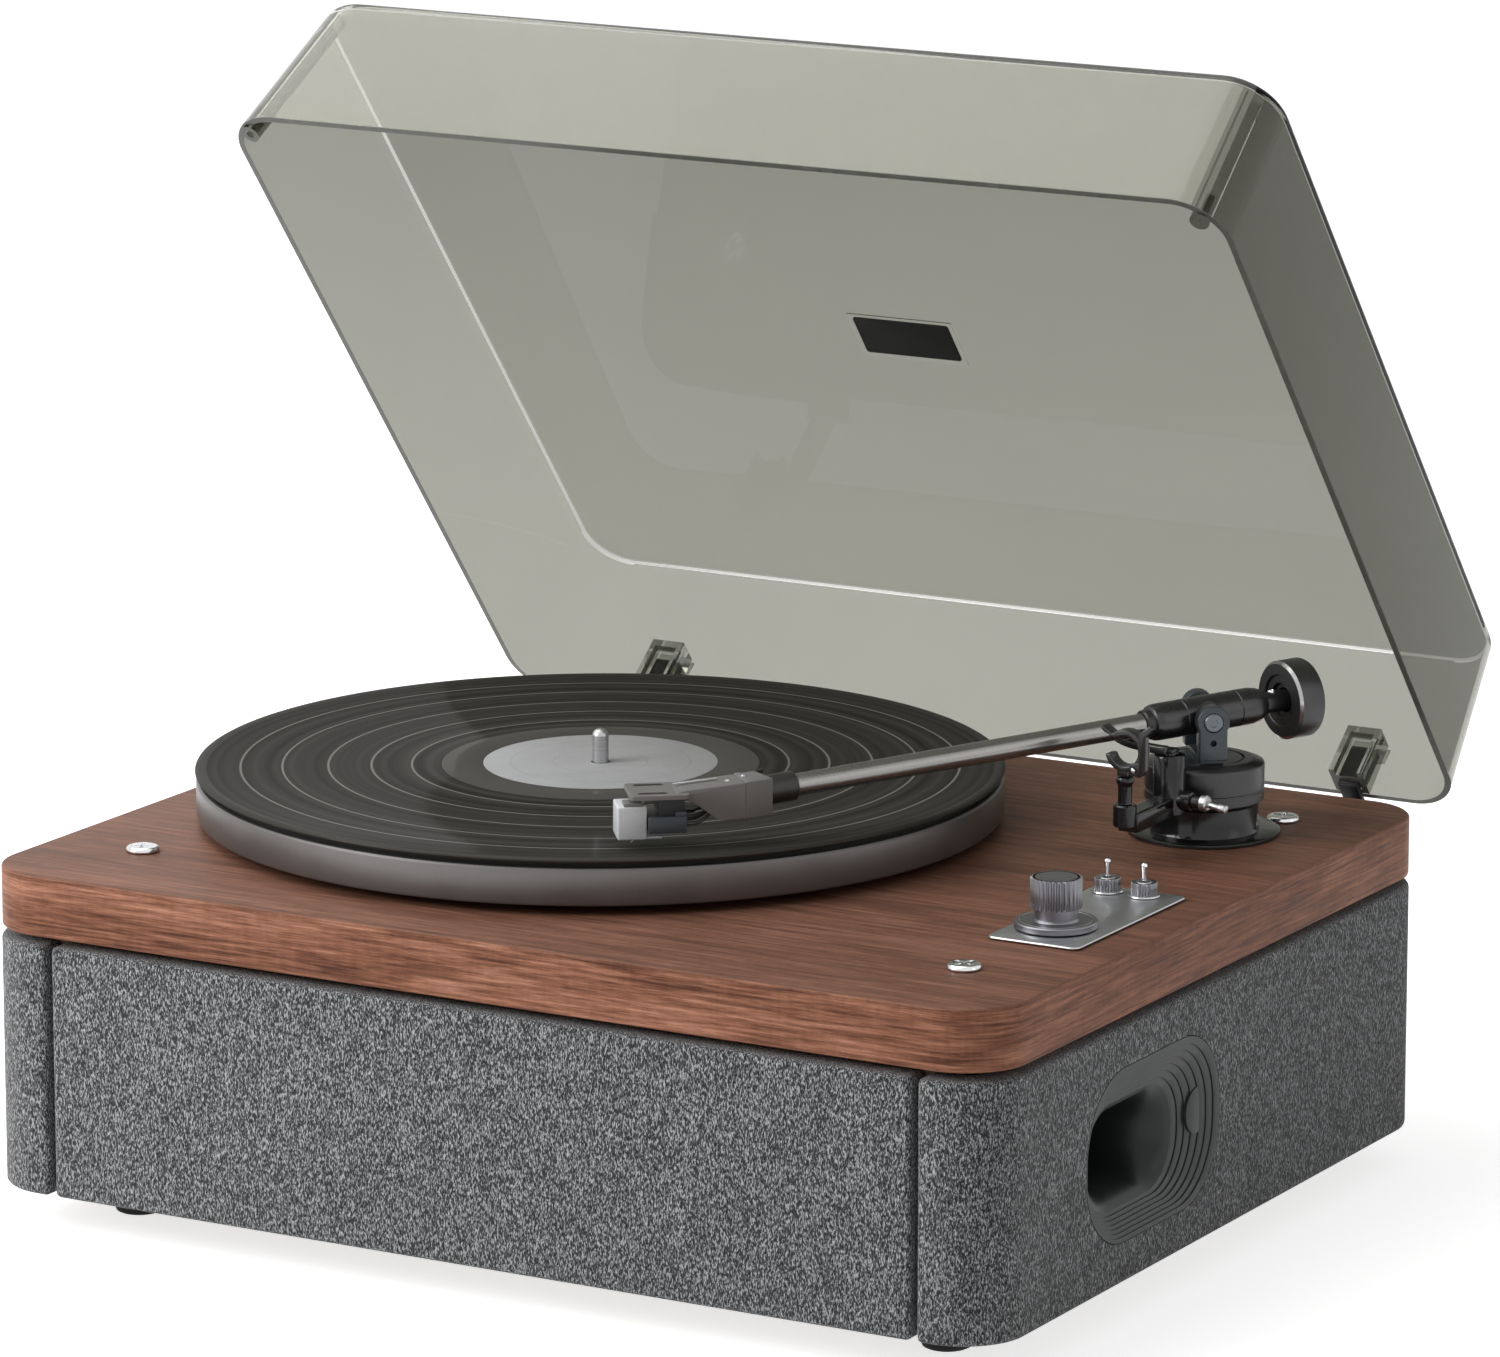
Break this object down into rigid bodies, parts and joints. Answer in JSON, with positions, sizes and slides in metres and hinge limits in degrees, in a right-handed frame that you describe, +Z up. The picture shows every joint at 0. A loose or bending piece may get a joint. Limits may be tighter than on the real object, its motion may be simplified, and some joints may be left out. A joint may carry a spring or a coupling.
{
  "type": "record player with speakers",
  "caption": "Turntable in a fabric wrapped speaker cabinet with a wooden deck, curved corners, angled headshell tonearm and an opened smoked dust cover.",
  "frame": {"origin": "centre of the base panel's underside; the feet stand below it", "axes": "+X to the right seen from the front, +Y to the back, +Z up"},
  "size_m": [0.4196, 0.4255, 0.424],
  "materials": {
    "fabric": "matt woven",
    "walnut": "satin",
    "board": "matt",
    "dark_plate": "matt",
    "rubber": "matt",
    "chrome": "polished",
    "black_plastic": "satin",
    "port_plastic": "satin",
    "paper_cone": "matt",
    "circuit_board": "satin",
    "dark_aluminium": "anodised",
    "plate_aluminium": "brushed",
    "knob_aluminium": "satin",
    "steel": "satin",
    "mat_rubber": "matt",
    "vinyl": "grooved gloss",
    "belt_rubber": "satin",
    "arm_black": "black satin",
    "arm_grey": "satin",
    "shell_grey": "satin",
    "screw_blue": "satin",
    "cartridge_blue": "satin",
    "stylus_white": "satin",
    "smoked_acrylic": "clear smoked gloss"
  },
  "bodies": {
    "cabinet": {"base_panel": "board", "front_baffle": "board", "grille_panel": "fabric", "back_panel": "fabric", "side_shell_left": "fabric", "side_shell_right": "fabric", "deck_plate": "dark_plate", "top_board": "walnut", "foot_1": "rubber", "foot_2": "rubber", "foot_3": "rubber", "foot_4": "rubber", "deck_screw_1": "chrome", "deck_screw_2": "chrome", "deck_screw_3": "chrome", "deck_screw_4": "chrome", "driver_left": "paper_cone", "driver_right": "paper_cone", "port_left": "port_plastic", "port_right": "port_plastic", "amplifier_board": "circuit_board", "jack_plate": "black_plastic", "motor": "steel", "drive_belt": "belt_rubber", "bearing_housing": "steel", "control_plate": "plate_aluminium", "volume_pot": "steel", "toggle_switch_left": "steel", "toggle_switch_right": "steel", "arm_base": "arm_black", "arm_collar": "arm_black", "cue_bracket": "arm_black", "rest_post": "arm_black", "rest_clip": "arm_black", "hinge_bracket_left": "black_plastic", "hinge_bracket_right": "black_plastic"},
    "cover": {"dust_cover": "smoked_acrylic", "hinge_arm_left": "black_plastic", "hinge_arm_right": "black_plastic"},
    "turning_platter": {"sub_platter": "black_plastic", "spindle": "chrome", "platter": "dark_aluminium", "slip_mat": "mat_rubber", "record": "vinyl"},
    "pulley": {"motor_pulley": "steel"},
    "arm_swing": {"arm_yoke": "screw_blue", "pivot_screw_near": "screw_blue", "pivot_screw_far": "screw_blue"},
    "arm_lift": {"arm_housing": "arm_black", "arm_tube": "arm_grey", "headshell": "shell_grey", "cartridge": "cartridge_blue", "stylus_block": "stylus_white"},
    "balance_weight": {"counterweight": "arm_black"},
    "cue_lever": {"cue_lever": "chrome"},
    "cue_lift": {"lift_bar": "arm_black"},
    "latch": {"rest_latch": "arm_black"},
    "knob": {"volume_knob": "knob_aluminium"},
    "toggle_left": {"toggle_lever_left": "chrome"},
    "toggle_right": {"toggle_lever_right": "chrome"}
  },
  "joints": [
    {"name": "cover_hinge", "type": "hinge", "parent": "cabinet", "child": "cover", "pos_m": [0, 0.17615, 0.07807], "axis": [1, 0, 0], "range_deg": [-6, 51]},
    {"name": "platter_spin", "type": "hinge", "parent": "cabinet", "child": "turning_platter", "pos_m": [-0.0525, 0.0069, 0.1198], "axis": [0, 0, 1], "continuous": true},
    {"name": "pulley_spin", "type": "hinge", "parent": "cabinet", "child": "pulley", "pos_m": [-0.12321, 0.07761, 0.1198], "axis": [0, 0, 1], "continuous": true},
    {"name": "tonearm_swing", "type": "hinge", "parent": "cabinet", "child": "arm_swing", "pos_m": [0.153, 0.0967, 0.1646], "axis": [0, 0, 1], "range_deg": [-19.5, 28.4]},
    {"name": "tonearm_lift", "type": "hinge", "parent": "arm_swing", "child": "arm_lift", "pos_m": [0.153, 0.0967, 0.1646], "axis": [0.6157, -0.788, 0], "range_deg": [-2.25, 0]},
    {"name": "counterweight_slide", "type": "slide", "parent": "arm_lift", "child": "balance_weight", "axis": [0.4922, 0.8699, 0.0314], "range_m": [-0.003, 0.003]},
    {"name": "cue_lever_turn", "type": "hinge", "parent": "cabinet", "child": "cue_lever", "pos_m": [0.153, 0.0682, 0.1383], "axis": [1, 0, 0], "range_deg": [-70, 0]},
    {"name": "cue_lift_slide", "type": "slide", "parent": "cabinet", "child": "cue_lift", "axis": [0, 0, 1], "range_m": [0, 0.0012]},
    {"name": "rest_latch_turn", "type": "hinge", "parent": "cabinet", "child": "latch", "pos_m": [0.158, 0.0352, 0.1574], "axis": [0, -1, 0], "range_deg": [0, 32]},
    {"name": "volume_turn", "type": "hinge", "parent": "cabinet", "child": "knob", "pos_m": [0.174, -0.0602, 0.1198], "axis": [0, 0, 1], "range_deg": [-150, 150]},
    {"name": "toggle_left_tilt", "type": "hinge", "parent": "cabinet", "child": "toggle_left", "pos_m": [0.1659, -0.0055, 0.125], "axis": [1, 0, 0], "range_deg": [-11, 11]},
    {"name": "toggle_right_tilt", "type": "hinge", "parent": "cabinet", "child": "toggle_right", "pos_m": [0.1805, -0.0052, 0.125], "axis": [1, 0, 0], "range_deg": [-11, 11]}
  ],
  "couplings": [
    {"joint": "pulley_spin", "follows": "platter_spin", "ratio": 10.69},
    {"joint": "cue_lever_turn", "follows": "tonearm_lift", "ratio": 31.111},
    {"joint": "cue_lift_slide", "follows": "tonearm_lift", "m_per_rad": -0.030558}
  ]
}
